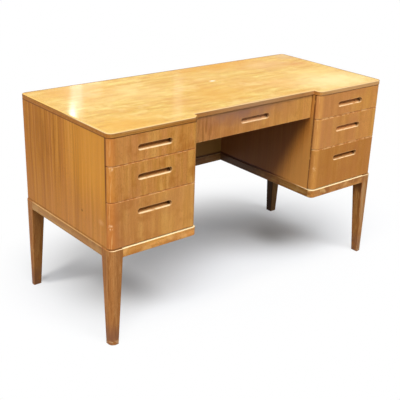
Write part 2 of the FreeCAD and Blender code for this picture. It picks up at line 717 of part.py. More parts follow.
pedestal_front_width = "(layout.carcass_inner - layout.carcass_left)"
pedestal_box_left = "(layout.bay_left + sizes.drawer_side_gap)"
pedestal_box_width = "(layout.bay_width - 2 * sizes.drawer_side_gap)"
for tier in TIERS:
    pieces = drawer("left_" + tier, "layout.carcass_left", pedestal_front_width, "layout.carcass_front",
                    "layout.%s_low" % tier, "layout.%s_top" % tier, pedestal_box_left, pedestal_box_width,
                    "layout.drawer_length", "sizes.%s_pull_drop" % tier, "layout.front_end_radius")
    for piece in pieces:
        right_node(piece)

centre_front_left = "(layout.carcass_inner + sizes.centre_end_gap)"
centre_box_left = "(layout.carcass_inner + sizes.centre_side_gap)"
drawer("centre", centre_front_left, "(-2 * " + centre_front_left + ")", "layout.centre_face",
       "layout.upper_low", "layout.upper_top", centre_box_left, "(-2 * " + centre_box_left + ")",
       "layout.centre_drawer_length", "sizes.upper_pull_drop", "sizes.front_edge_radius")

# Runners: strips screwed to the sides, one in each drawer side's groove.


def runner_level(tier):
    """Height of the underside of a tier's runners."""
    side_low = "layout.%s_low + layout.drawer_side_rise" % tier
    side_top = "layout.%s_top - layout.drawer_side_drop" % tier
    return "((" + side_low + " + " + side_top + ") / 2 - sizes.runner_height / 2)"


def runner(name, corner, thickness, length, direction):
    """A strip, its screws driven into the side behind it, and the holes for them."""
    strip = board(name, corner, (thickness, length, "sizes.runner_height"))
    face = corner[0] if direction[0] > 0 else corner[0] + " + " + thickness
    middle = corner[2] + " + sizes.runner_height / 2"
    heads = [
        (face, corner[1] + " + sizes.screw_end_distance", middle),
        (face, corner[1] + " + " + length + " - sizes.screw_end_distance", middle),
    ]
    screw_length = "(" + thickness + " + sizes.side_thickness - sizes.screw_cover)"
    screws, holes = screws_and_holes(name + "_screws", heads, direction, screw_length)
    return cut_away(name + "_drilled", strip, [holes]), screws, holes


runner_thickness = "(sizes.drawer_side_gap + sizes.runner_engagement)"
outer_strips = []
outer_screws = []
outer_holes = []
for tier in TIERS:
    strip, screws, holes = runner(
        tier + "_runner",
        ("layout.bay_left", "layout.side_front + sizes.runner_setback", runner_level(tier)),
        runner_thickness, "layout.runner_length", (-1, 0, 0))
    outer_strips.append(strip)
    outer_screws.append(screws)
    outer_holes.append(holes)


def across_bay(piece):
    return mirrored(piece.Name + "_inner", piece, "x", "layout.bay_centre")


inner_strips = [across_bay(strip) for strip in outer_strips]
inner_screws = [across_bay(screws) for screws in outer_screws]
inner_holes = [across_bay(holes) for holes in outer_holes]
pedestal_runners = joined("pedestal_runners", "Part::Compound", outer_strips + inner_strips)
right_node(node(pedestal_runners, "left_drawer_runners"))

centre_runner_thickness = "(sizes.centre_side_gap + sizes.runner_engagement)"
centre_strip, centre_screws, centre_holes = runner(
    "centre_runner",
    ("layout.carcass_inner", "layout.centre_side_front + sizes.runner_setback", runner_level("upper")),
    centre_runner_thickness, "layout.centre_runner_length", (-1, 0, 0))
centre_strips = [centre_strip, mirrored("centre_runner_right", centre_strip)]
node(joined("centre_runners", "Part::Compound", centre_strips), "centre_drawer_runners")

left_runner_screws = joined("left_runner_screws", "Part::Compound",
                            outer_screws + inner_screws + [centre_screws])
node(joined("all_runner_screws", "Part::Compound",
            [left_runner_screws, mirrored("right_runner_screws", left_runner_screws)]), "runner_screws")
right_node(node(cut_away("outer_side_drilled", outer_side, outer_holes), "left_outer_side"))
inner_side_drilled = cut_away("inner_side_drilled", inner_side, inner_holes + [centre_holes])
right_node(node(inner_side_drilled, "left_inner_side"))

# Check every piece before any is written.

document.recompute()
for item in document.Objects:
    if "Invalid" in item.State or "Error" in item.State:
        raise RuntimeError("%s failed: %s" % (item.Name, item.State))
for piece in nodes:
    if piece.Shape.isNull() or not piece.Shape.isValid():
        raise RuntimeError("%s has no valid shape" % piece.Label)

os.makedirs("parts", exist_ok=True)
for piece in nodes:
    piece.Shape.exportStep("parts/%s.step" % piece.Label)
    box = piece.Shape.BoundBox
    print("%-26s solids %2d  volume %9.0f  size %.1f x %.1f x %.1f" % (
        piece.Label, len(piece.Shape.Solids), piece.Shape.Volume, box.XLength, box.YLength, box.ZLength))
print(len(nodes), "nodes")
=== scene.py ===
# A double pedestal desk of veneered wood with routed finger pulls, dressed on its CAD frame.
# Lengths are in metres: +X is to the desk's right, the front faces -Y, and the floor is at Z 0.
import math

import bmesh
import bpy
from mathutils import Matrix, Vector


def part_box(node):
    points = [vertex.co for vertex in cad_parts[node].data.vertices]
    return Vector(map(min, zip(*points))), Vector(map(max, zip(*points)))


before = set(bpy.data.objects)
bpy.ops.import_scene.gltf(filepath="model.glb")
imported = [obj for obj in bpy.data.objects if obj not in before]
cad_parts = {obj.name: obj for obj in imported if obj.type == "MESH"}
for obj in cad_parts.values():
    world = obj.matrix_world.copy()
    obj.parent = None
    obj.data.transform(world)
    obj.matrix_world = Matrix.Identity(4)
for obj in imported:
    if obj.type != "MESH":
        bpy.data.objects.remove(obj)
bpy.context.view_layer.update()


# Legs: four square legs, each planed from one length of hardwood and tapered on the two faces under the desk.
# The base rails are tenoned into their upper ends. Years of floors and mops have stained and nicked the feet.

def colour(red, green, blue):
    """A colour as a screen shows it, 0 to 255, turned into the linear colour that nodes take."""
    def linear(level):
        share = level / 255
        return share / 12.92 if share <= 0.04045 else ((share + 0.055) / 1.055) ** 2.4
    return linear(red), linear(green), linear(blue), 1.0


class Finish:
    """A material built up as a finisher works: a ground colour, then stains and wear, then the top coat."""

    def __init__(self, name):
        self.material = bpy.data.materials.new(name)
        self.material.use_nodes = True
        self.tree = self.material.node_tree
        self.shader = self.tree.nodes["Principled BSDF"]
        spot = self.add("ShaderNodeTexCoord").outputs
        self.place = spot["Object"]
        self.x, self.y, self.z = self.add("ShaderNodeSeparateXYZ", {0: self.place}).outputs
        facing = self.add("ShaderNodeSeparateXYZ", {0: spot["Normal"]})
        self.facing_x, self.facing_y, self.facing_z = facing.outputs

    def add(self, kind, inputs=None, **settings):
        node = self.tree.nodes.new(kind)
        for setting, value in settings.items():
            setattr(node, setting, value)
        for socket, value in (inputs or {}).items():
            if isinstance(value, bpy.types.NodeSocket):
                self.tree.links.new(value, node.inputs[socket])
            else:
                node.inputs[socket].default_value = value
        return node

    def work(self, operation, *values):
        return self.add("ShaderNodeMath", dict(enumerate(values)), operation=operation).outputs[0]

    def both(self, first, *others):
        """Where all of these masks are."""
        for other in others:
            first = self.work("MULTIPLY", first, other)
        return first

    def either(self, first, second):
        return self.work("MAXIMUM", first, second)

    def fade(self, value, none, full):
        """0 where a value is at none, 1 where it is at full, and smooth between them."""
        limits = {"Value": value, "From Min": none, "From Max": full}
        return self.add("ShaderNodeMapRange", limits, interpolation_type="SMOOTHSTEP").outputs["Result"]

    def near(self, axis, level, reach):
        """1 at a level along an axis, fading to 0 this far from it."""
        return self.fade(self.work("ABSOLUTE", self.work("SUBTRACT", axis, level)), reach, 0.0)

    def towards(self, facing, sign):
        """1 where the surface faces this way along an axis, 0 where it faces aside."""
        return self.fade(self.work("MULTIPLY", facing, sign), 0.3, 0.9)

    def patch(self, middle, reach):
        """1 at a point, fading out with a ragged edge at this reach along each axis."""
        offset = self.add("ShaderNodeVectorMath", {0: self.place, 1: middle}, operation="SUBTRACT").outputs[0]
        scaled = self.add("ShaderNodeVectorMath", {0: offset, 1: reach}, operation="DIVIDE").outputs[0]
        away = self.add("ShaderNodeVectorMath", {0: scaled}, operation="LENGTH").outputs["Value"]
        return self.fade(self.work("MULTIPLY_ADD", self.blotches(0.04), 0.6, away), 1.3, 0.3)

    def blotches(self, size, detail=2.0):
        noise = self.add("ShaderNodeTexNoise", {"Vector": self.place, "Scale": 1 / size, "Detail": detail})
        return noise.outputs["Fac"]

    def lay(self, mask, tone, strength):
        """Colours the surface over where the mask is, on top of what it had."""
        blend = {0: self.both(mask, strength), 6: self.ground, 7: tone}
        self.ground = self.add("ShaderNodeMix", blend, data_type="RGBA").outputs[2]

    def put_on(self, *nodes):
        self.tree.links.new(self.ground, self.shader.inputs["Base Color"])
        for node in nodes:
            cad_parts[node].material_slots[0].material = self.material


class Wood(Finish):
    """Wood with its grain along one axis: ribbons, narrow streaks, fibres and open pores under varnish."""

    def __init__(self, name, grain, start, sway=0.012):
        super().__init__(name)
        self.grain = "xyz".index(grain)
        self.start = start
        bend = self.add("ShaderNodeTexNoise", {"Vector": self.place, "Scale": 3.0, "Detail": 1.0})
        centred = self.add("ShaderNodeVectorMath", {0: bend.outputs["Color"], 1: (0.5, 0.5, 0.5)},
                           operation="SUBTRACT")
        swayed = self.add("ShaderNodeVectorMath", {0: centred.outputs[0], "Scale": sway}, operation="SCALE")
        waved = self.add("ShaderNodeVectorMath", {0: self.place, 1: swayed.outputs[0]}, operation="ADD")
        self.waved = waved.outputs[0]

    def streaks(self, length, width, detail=2.0):
        """Streaks along the grain, about this long and wide, as a level round 0.5."""
        stretch = [1 / width] * 3
        stretch[self.grain] = 1 / length
        laid = self.add("ShaderNodeMapping", {"Vector": self.waved, "Location": self.start, "Scale": stretch})
        noise = self.add("ShaderNodeTexNoise", {"Vector": laid.outputs[0], "Scale": 1.0, "Detail": detail})
        return noise.outputs["Fac"]

    def figure(self, tones, ribbon, streak, spread, calm=0.5):
        """The wood's own colours: ribbons and streaks of a length and width, fine fibres and dark pores.
        The calmer it is, the more its ribbons show and the less its streaks."""
        dark, middle, pale, rosy = tones
        self.streak_level = self.streaks(*streak, detail=4.0)
        self.fibre_level = self.streaks(0.12, 0.0012)
        self.pores = self.fade(self.streaks(0.009, 0.0006, detail=0.0), 0.62, 0.74)
        level = self.work("MULTIPLY", self.streaks(*ribbon), calm)
        level = self.work("MULTIPLY_ADD", self.streak_level, (1 - calm) * 0.7, level)
        level = self.work("MULTIPLY_ADD", self.fibre_level, (1 - calm) * 0.3, level)
        shades = self.add("ShaderNodeValToRGB", {"Fac": level})
        ends = shades.color_ramp.elements
        ends[0].position = 0.5 - spread
        ends[0].color = dark
        ends[1].position = 0.5 + spread
        ends[1].color = pale
        ends.new(0.5).color = middle
        self.ground = shades.outputs["Color"]
        length, width = ribbon
        self.lay(self.fade(self.streaks(length * 1.3, width * 1.7), 0.42, 0.62), rosy, 0.5)
        self.lay(self.pores, deepen(dark, 0.45), 0.55)

    def varnish(self, roughness, shine=0.15, coat=0.0, coat_roughness=0.2):
        """Satin varnish: a little duller along some streaks, sunk into the pores and over the fibres."""
        pore_depth = 0.00025
        dulled = self.add("ShaderNodeMapRange", {"Value": self.streak_level, "From Min": 0.3, "From Max": 0.7,
                                                 "To Min": roughness - 0.07, "To Max": roughness + 0.07})
        self.tree.links.new(dulled.outputs["Result"], self.shader.inputs["Roughness"])
        height = self.work("SUBTRACT", self.work("MULTIPLY", self.fibre_level, 0.5), self.pores)
        bump = self.add("ShaderNodeBump", {"Height": height, "Strength": 0.5, "Distance": pore_depth})
        self.tree.links.new(bump.outputs["Normal"], self.shader.inputs["Normal"])
        self.shader.inputs["Specular IOR Level"].default_value = shine
        self.shader.inputs["Coat Weight"].default_value = coat
        self.shader.inputs["Coat Roughness"].default_value = coat_roughness


def deepen(tone, share):
    """A tone with only a share of its light."""
    red, green, blue, solid = tone
    return red * share, green * share, blue * share, solid


leg_tones = colour(144, 90, 40), colour(174, 116, 58), colour(198, 144, 82), colour(172, 110, 62)
base_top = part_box("front_left_leg")[1].z
# Pale bare wood for eased edges: partly wear, partly a painted highlight where the edge catches light.
bare_and_highlit = colour(255, 232, 182)


def leg_wood(leg, start):
    """A leg's wood, streaked along the grain, stained by wet floors and nicked round the foot."""
    wood = Wood(leg + "_wood", "z", start)
    wood.figure(leg_tones, ribbon=(0.45, 0.018), streak=(0.22, 0.004), spread=0.12)
    wood.lay(wood.fade(wood.streaks(0.09, 0.007), 0.5, 0.65), colour(138, 82, 38), 0.5)
    wood.lay(wood.fade(wood.streaks(0.05, 0.003), 0.58, 0.7), colour(216, 166, 104), 0.4)
    stained = wood.both(wood.fade(wood.z, 0.105, 0.03), wood.fade(wood.blotches(0.05), 0.25, 0.5))
    wood.lay(stained, colour(122, 82, 66), 0.6)
    nicks = wood.both(wood.fade(wood.z, 0.03, 0.004), wood.fade(wood.blotches(0.011), 0.53, 0.62))
    wood.lay(nicks, colour(220, 180, 136), 0.55)
    wood.varnish(0.48, shine=0.08)
    return wood


def tapered_faces(wood, inner_x, inner_y):
    """Where a leg's two tapered faces are, which look this way under the desk."""
    return wood.either(wood.towards(wood.facing_x, inner_x), wood.towards(wood.facing_y, inner_y))


def upper_edge(wood):
    """Where the eased upper edge of the base is."""
    return wood.fade(wood.z, base_top - 0.0030, base_top - 0.0014)


front_left = leg_wood("front_left_leg", (4.1, 8.7, 1.3))
# Painted shade: the tapered faces under the desk are darker.
front_left.lay(tapered_faces(front_left, 1, 1), colour(116, 74, 32), 0.5)
front_face = front_left.towards(front_left.facing_y, -1)
faded = front_left.both(front_face, front_left.fade(front_left.z, 0.13, 0.24))
front_left.lay(faded, colour(206, 148, 84), 0.15)
# The upper edge across the front face: worn pale and a painted highlight.
front_left.lay(front_left.both(front_face, upper_edge(front_left)), bare_and_highlit, 1.0)
front_left.put_on("front_left_leg")

front_right = leg_wood("front_right_leg", (2.1, 8.7, 1.3))
# A painted shadow of the rail across the top of the tapered faces, with a diagonal edge.
under_the_rail = front_right.work("MULTIPLY_ADD", front_right.y, -0.9, front_right.z)
painted_rail_shadow = front_right.both(tapered_faces(front_right, -1, 1), front_right.fade(under_the_rail, 0.49, 0.54))
front_right.lay(painted_rail_shadow, colour(84, 42, 16), 0.75)
front_face = front_right.towards(front_right.facing_y, -1)
pale_streaks = front_right.fade(front_right.streaks(0.06, 0.005), 0.42, 0.62)
front_right.lay(front_right.both(front_face, pale_streaks), colour(206, 170, 124), 0.45)
# The upper edge across the front face: worn pale and a painted highlight.
front_right.lay(front_right.both(front_face, upper_edge(front_right)), bare_and_highlit, 1.0)
front_right.put_on("front_right_leg")

rear_left = leg_wood("rear_left_leg", (4.1, 6.7, 1.3))
# Painted shade: the tapered faces under the desk are darker.
rear_left.lay(tapered_faces(rear_left, 1, -1), colour(124, 82, 36), 0.35)
rear_left.put_on("rear_left_leg")

rear_right = leg_wood("rear_right_leg", (2.1, 6.7, 1.3))
# Painted shade: the faces turned under the desk are dark, the one facing left nearly black.
rear_right.lay(rear_right.towards(rear_right.facing_y, -1), colour(94, 68, 32), 0.85)
rear_right.lay(rear_right.towards(rear_right.facing_x, -1), colour(32, 20, 10), 0.93)
rear_right.put_on("rear_right_leg")


# Base rails: the frame that joins the legs under the carcass, of solid wood planed flush with the legs.
# The rails are tenoned into the legs and stand proud of the carcass. Their eased upper edge is rubbed pale in
# front, with a painted highlight along it, and those beside the kneehole have painted shade towards the back.

base_tones = colour(178, 114, 46), colour(206, 144, 66), colour(226, 172, 96), colour(204, 136, 74)


def base_rail(name, grain, edge_rub_and_highlight, shade, stain):
    """A rail's wood: how much of its upper edge is rubbed pale with a painted highlight, how deep its tones
    are and how stained it is.
    """
    wood = Wood(name, grain, start=(9.3, 2.1, 5.9))
    wood.figure([deepen(tone, shade) for tone in base_tones], ribbon=(0.5, 0.014), streak=(0.2, 0.004),
                spread=0.12)
    browned = wood.fade(wood.blotches(0.06, detail=4.0), 0.48, 0.62)
    wood.lay(browned, deepen(colour(150, 88, 34), shade), stain)
    bleached = wood.fade(wood.blotches(0.05, detail=4.0), 0.46, 0.34)
    wood.lay(bleached, deepen(colour(236, 188, 116), shade), stain)
    # Along the eased upper edge: wear and a painted highlight.
    wood.lay(upper_edge(wood), bare_and_highlit, edge_rub_and_highlight)
    wood.varnish(0.42, shine=0.18)
    return wood


left_rail = base_rail("left_front_rail_wood", "x", edge_rub_and_highlight=1.0, shade=1.25, stain=0.35)
left_rail.put_on("left_front_base_rail")
right_rail = base_rail("right_front_rail_wood", "x", edge_rub_and_highlight=1.0, shade=0.94, stain=0.7)
right_rail.put_on("right_front_base_rail")
# The back rail's deep tone is painted shade, as it stands at the back under the desk.
back_rail = base_rail("back_rail_wood", "x", edge_rub_and_highlight=0.15, shade=0.46, stain=0.3)
back_rail.put_on("back_base_rail")
outer_rail = base_rail("outer_rail_wood", "y", edge_rub_and_highlight=0.12, shade=0.72, stain=0.25)
outer_rail.put_on("left_outer_base_rail", "right_outer_base_rail")
inner_rail = base_rail("inner_rail_wood", "y", edge_rub_and_highlight=0.08, shade=0.62, stain=0.5)
# Painted shade: the inner rails grow darker towards the back of the kneehole.
inner_rail.lay(inner_rail.fade(inner_rail.y, -0.14, 0.10), colour(78, 52, 40), 0.8)
# Pale at the front end of the upper edge: wear and a painted highlight.
rubbed_end = inner_rail.both(upper_edge(inner_rail), inner_rail.fade(inner_rail.y, -0.17, -0.25))
inner_rail.lay(rubbed_end, bare_and_highlit, 0.7)
inner_rail.put_on("left_inner_base_rail", "right_inner_base_rail")


# Hidden carpentry: corner blocks glued into the base frame, the pedestals' floors, the rails under the top
# and the runners, all of plain pale hardwood, planed and left without stain or varnish.

plain_tones = colour(176, 138, 90), colour(200, 164, 112), colour(216, 184, 134), colour(204, 158, 110)


def plain_wood(name, grain, *nodes):
    """Bare secondary wood, darkened a little by age and dust."""
    wood = Wood(name, grain, start=(1.7, 4.9, 8.3))
    wood.figure(plain_tones, ribbon=(0.4, 0.03), streak=(0.15, 0.005), spread=0.13)
    wood.lay(wood.fade(wood.blotches(0.12), 0.5, 0.75), colour(150, 112, 70), 0.3)
    wood.varnish(0.68)
    wood.put_on(*nodes)


plain_wood("block_wood", "z", "base_corner_blocks")
plain_wood("floor_board_wood", "y", "left_pedestal_floor", "right_pedestal_floor", "left_drawer_runners",
           "right_drawer_runners", "centre_drawer_runners")
plain_wood("top_rail_wood", "x", "left_front_top_rail", "right_front_top_rail", "left_rear_top_rail",
           "right_rear_top_rail")


# Screws: countersunk wood screws of bright steel, turned in flush with the wood.
# They hold the runners, the base frame and the top. Their steel has gone dull and brownish in places.

screw_steel = Finish("screw_steel")
worn_plating = {0: screw_steel.fade(screw_steel.blotches(0.002), 0.4, 0.65), 6: colour(150, 146, 138),
                7: colour(104, 96, 86)}
screw_steel.ground = screw_steel.add("ShaderNodeMix", worn_plating, data_type="RGBA").outputs[2]
dulling = {"Value": screw_steel.blotches(0.001), "To Min": 0.3, "To Max": 0.6}
tarnish = screw_steel.add("ShaderNodeMapRange", dulling)
screw_steel.tree.links.new(tarnish.outputs["Result"], screw_steel.shader.inputs["Roughness"])
screw_steel.shader.inputs["Metallic"].default_value = 1.0
screw_steel.put_on("base_screws", "top_screws", "runner_screws")


# Pedestal sides: veneered boards, the grain upright, the back edge of the outer ones rounded over.
# They are glued to the pedestals' floors and top rails. Sun and hands have left streaks and patches. On the
# kneehole's sides a diagonal shadow is painted, with painted light in front of it.

side_tones = colour(172, 106, 30), colour(200, 130, 46), colour(220, 154, 68), colour(202, 128, 62)
# The dark tone of the seams: partly dirt, partly painted shade.
seam_dirt_and_shade = colour(96, 46, 22)
side_low, side_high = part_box("left_outer_side")
side_front = side_low.y
side_top = side_high.z


def side_veneer(name, start):
    """Veneer for the sides: darker and paler streaks, rosy patches, and a duller tone towards the base."""
    wood = Wood(name, "z", start)
    wood.figure(side_tones, ribbon=(0.9, 0.022), streak=(0.30, 0.006), spread=0.13)
    wood.lay(wood.fade(wood.streaks(0.5, 0.007), 0.54, 0.68), colour(150, 88, 26), 0.35)
    wood.lay(wood.fade(wood.streaks(0.4, 0.012), 0.44, 0.30), colour(230, 166, 84), 0.35)
    wood.lay(wood.fade(wood.blotches(0.22), 0.5, 0.72), colour(196, 128, 72), 0.3)
    wood.lay(wood.fade(wood.z, 0.58, 0.36), colour(206, 144, 86), 0.35)
    return wood


def dirty_and_shaded_seams(wood, beside_fronts, along_base):
    """Dirt and painted shade: a painted shadow line under the top, and dark seams beside the drawer fronts
    where this mask is, and along the base.
    """
    wood.lay(wood.fade(wood.z, side_top - 0.004, side_top - 0.001), seam_dirt_and_shade, 0.75)
    front_edge = wood.fade(wood.y, side_front + 0.005, side_front + 0.002)
    wood.lay(wood.both(front_edge, beside_fronts), seam_dirt_and_shade, 0.85)
    base_seam = wood.fade(wood.z, base_top + 0.010, base_top + 0.003)
    wood.lay(wood.both(base_seam, along_base), colour(72, 26, 14), 0.9)


outer_veneer = side_veneer("outer_side_veneer", (5.1, 3.3, 2.7))
outer_veneer.lay(outer_veneer.fade(outer_veneer.y, -0.05, 0.22), colour(166, 102, 34), 0.35)
in_the_sun = outer_veneer.both(outer_veneer.fade(outer_veneer.y, 0.08, -0.2),
                               outer_veneer.fade(outer_veneer.z, 0.4, 0.6))
outer_veneer.lay(in_the_sun, colour(232, 160, 62), 0.6)
dark_figure = outer_veneer.fade(outer_veneer.streaks(0.12, 0.008), 0.36, 0.62)
darker_board = outer_veneer.either(outer_veneer.patch((side_low.x, 0.13, 0.62), (0.1, 0.14, 0.14)),
                                   outer_veneer.patch((side_low.x, 0.02, 0.56), (0.1, 0.03, 0.14)))
outer_veneer.lay(outer_veneer.both(darker_board, dark_figure), colour(140, 80, 20), 0.4)
dark_spot = outer_veneer.patch((side_low.x, -0.113, 0.437), (0.1, 0.007, 0.006))
outer_veneer.lay(dark_spot, colour(70, 36, 18), 0.55)
pale_scuff = outer_veneer.patch((side_low.x, -0.226, 0.434), (0.1, 0.022, 0.014))
outer_veneer.lay(pale_scuff, colour(228, 172, 116), 0.45)
dirty_and_shaded_seams(outer_veneer, beside_fronts=outer_veneer.fade(outer_veneer.z, 0.36, 0.60), along_base=0.33)
outer_veneer.varnish(0.45, shine=0.06)
outer_veneer.put_on("left_outer_side", "right_outer_side")

inner_veneer = side_veneer("inner_side_veneer", (8.9, 6.1, 4.7))
# A painted diagonal shadow on the kneehole's sides: dark behind the line, painted light in front of it.
depth = inner_veneer.work("MULTIPLY_ADD", inner_veneer.z, 0.52, inner_veneer.y)
behind_the_drawer = inner_veneer.fade(inner_veneer.y, -0.243, -0.232)
darkened = inner_veneer.both(inner_veneer.fade(depth, 0.07, 0.14), behind_the_drawer)
inner_veneer.lay(darkened, colour(112, 68, 40), 0.8)
inner_veneer.lay(inner_veneer.fade(depth, 0.09, 0.03), colour(228, 160, 80), 0.6)
# Painted light on the strip beside the centre drawer.
painted_light_beside_drawer = inner_veneer.both(inner_veneer.fade(inner_veneer.y, -0.236, -0.246),
                                      inner_veneer.fade(inner_veneer.z, 0.58, 0.62))
inner_veneer.lay(painted_light_beside_drawer, colour(214, 160, 84), 0.5)
dirty_and_shaded_seams(inner_veneer, beside_fronts=inner_veneer.fade(inner_veneer.blotches(0.03), 0.34, 0.5),
            along_base=inner_veneer.fade(inner_veneer.y, -0.20, 0.0))
inner_veneer.varnish(0.45)
inner_veneer.put_on("left_inner_side", "right_inner_side")


# Back panel: one wide veneered board that closes both pedestals and the kneehole, let in between the outer
# sides. The grain is upright as on the sides, a shade browner, and on the kneehole's side darker with painted
# shade.

back_tones = colour(158, 106, 46), colour(184, 130, 60), colour(204, 154, 82), colour(186, 126, 64)
back_veneer = Wood("back_veneer", "z", start=(2.3, 9.7, 6.1))
back_veneer.figure(back_tones, ribbon=(0.9, 0.03), streak=(0.30, 0.006), spread=0.16)
back_veneer.lay(back_veneer.fade(back_veneer.blotches(0.25), 0.48, 0.7), colour(168, 108, 52), 0.4)
# Painted shade on the face towards the kneehole, with a seam of dirt and painted shade along the base.
shaded_kneehole_face = back_veneer.towards(back_veneer.facing_y, -1)
back_veneer.lay(shaded_kneehole_face, colour(144, 108, 54), 0.75)
base_seam = back_veneer.fade(back_veneer.z, base_top + 0.012, base_top + 0.004)
back_veneer.lay(back_veneer.both(shaded_kneehole_face, base_seam), deepen(seam_dirt_and_shade, 0.5), 0.8)
back_veneer.varnish(0.5)
back_veneer.put_on("back_panel")


# Drawer boxes: two grooved sides, a back and a thin bottom for each of the seven drawers, of pale hardwood,
# sanded smooth and waxed so that they run easily on their strips.

drawers = ["left_upper", "left_middle", "left_lower", "right_upper", "right_middle", "right_lower", "centre"]
plain_wood("drawer_side_wood", "y", *[drawer + "_drawer_sides" for drawer in drawers])
plain_wood("drawer_back_wood", "x", *[drawer + "_drawer_back" for drawer in drawers],
           *[drawer + "_drawer_bottom" for drawer in drawers])


# Drawer fronts: boards faced with upright veneer, the pedestals' ones rounded at both ends. A finger pull is
# routed into each. Edges are chipped pale where drawers meet, and fingers have rubbed the pulls' lower lips.
# The pulls' hollows and lips, the edge faces and a sheen across the fronts also carry painted light and
# shade.

front_tones = colour(186, 122, 50), colour(208, 146, 68), colour(224, 168, 88), colour(210, 140, 78)
# Each front's shade, how rosy the painted sheen at its left end is, how golden at its right end, how mottled
# it is, and the painted light or shade inside its pull.
front_looks = {
    "left_upper": dict(shade=1.04, rosy=0.3, golden=0.0, mottle=0.6, hollow_light_and_shade=colour(148, 102, 54)),
    "left_middle": dict(shade=1.0, rosy=0.1, golden=0.0, mottle=0.6, hollow_light_and_shade=colour(148, 102, 54)),
    "left_lower": dict(shade=0.97, rosy=0.35, golden=0.4, mottle=0.6, hollow_light_and_shade=colour(148, 102, 54)),
    "right_upper": dict(shade=1.07, rosy=0.6, golden=0.1, mottle=0.15, hollow_light_and_shade=colour(178, 126, 78)),
    "right_middle": dict(shade=1.05, rosy=0.5, golden=0.1, mottle=0.15, hollow_light_and_shade=colour(196, 138, 86)),
    "right_lower": dict(shade=0.84, rosy=0.0, golden=0.0, mottle=0.15, hollow_light_and_shade=colour(140, 90, 46)),
    "centre": dict(shade=0.98, rosy=0.5, golden=0.3, mottle=0.6, hollow_light_and_shade=colour(206, 158, 112)),
}
# How far the tones spread, how chipped the edges are, how pale the pulls' lower lips are, worn and with a
# painted highlight, and how deep in.
front_wear = {
    "left": dict(spread=0.13, chips=0.5, lip=0.9, lip_depth=0.007),
    "right": dict(spread=0.2, chips=0.85, lip=0.8, lip_depth=0.005),
    "centre": dict(spread=0.13, chips=0.4, lip=0.8, lip_depth=0.005),
}
chipped_at = {"left_lower": (-0.628, -0.272, 0.430), "left_middle": (-0.624, -0.272, 0.629),
              "right_lower": (0.296, -0.270, 0.437)}
pull_length = 0.135
pull_height = 0.020
pull_drops = {"upper": 0.044, "middle": 0.051, "lower": 0.048, "centre": 0.044}
chip_reach = 0.004


def pull_distance(wood, middle_x, middle_z):
    """How far a place lies outside the outline of a pull, less than 0 inside it."""
    beyond = wood.work("ABSOLUTE", wood.work("SUBTRACT", wood.x, middle_x))
    beyond = wood.either(wood.work("SUBTRACT", beyond, (pull_length - pull_height) / 2), 0.0)
    aside = wood.add("ShaderNodeCombineXYZ", {"X": beyond, "Z": wood.work("SUBTRACT", wood.z, middle_z)})
    reach = wood.add("ShaderNodeVectorMath", {0: aside.outputs[0]}, operation="LENGTH")
    return wood.work("SUBTRACT", reach.outputs["Value"], pull_height / 2)


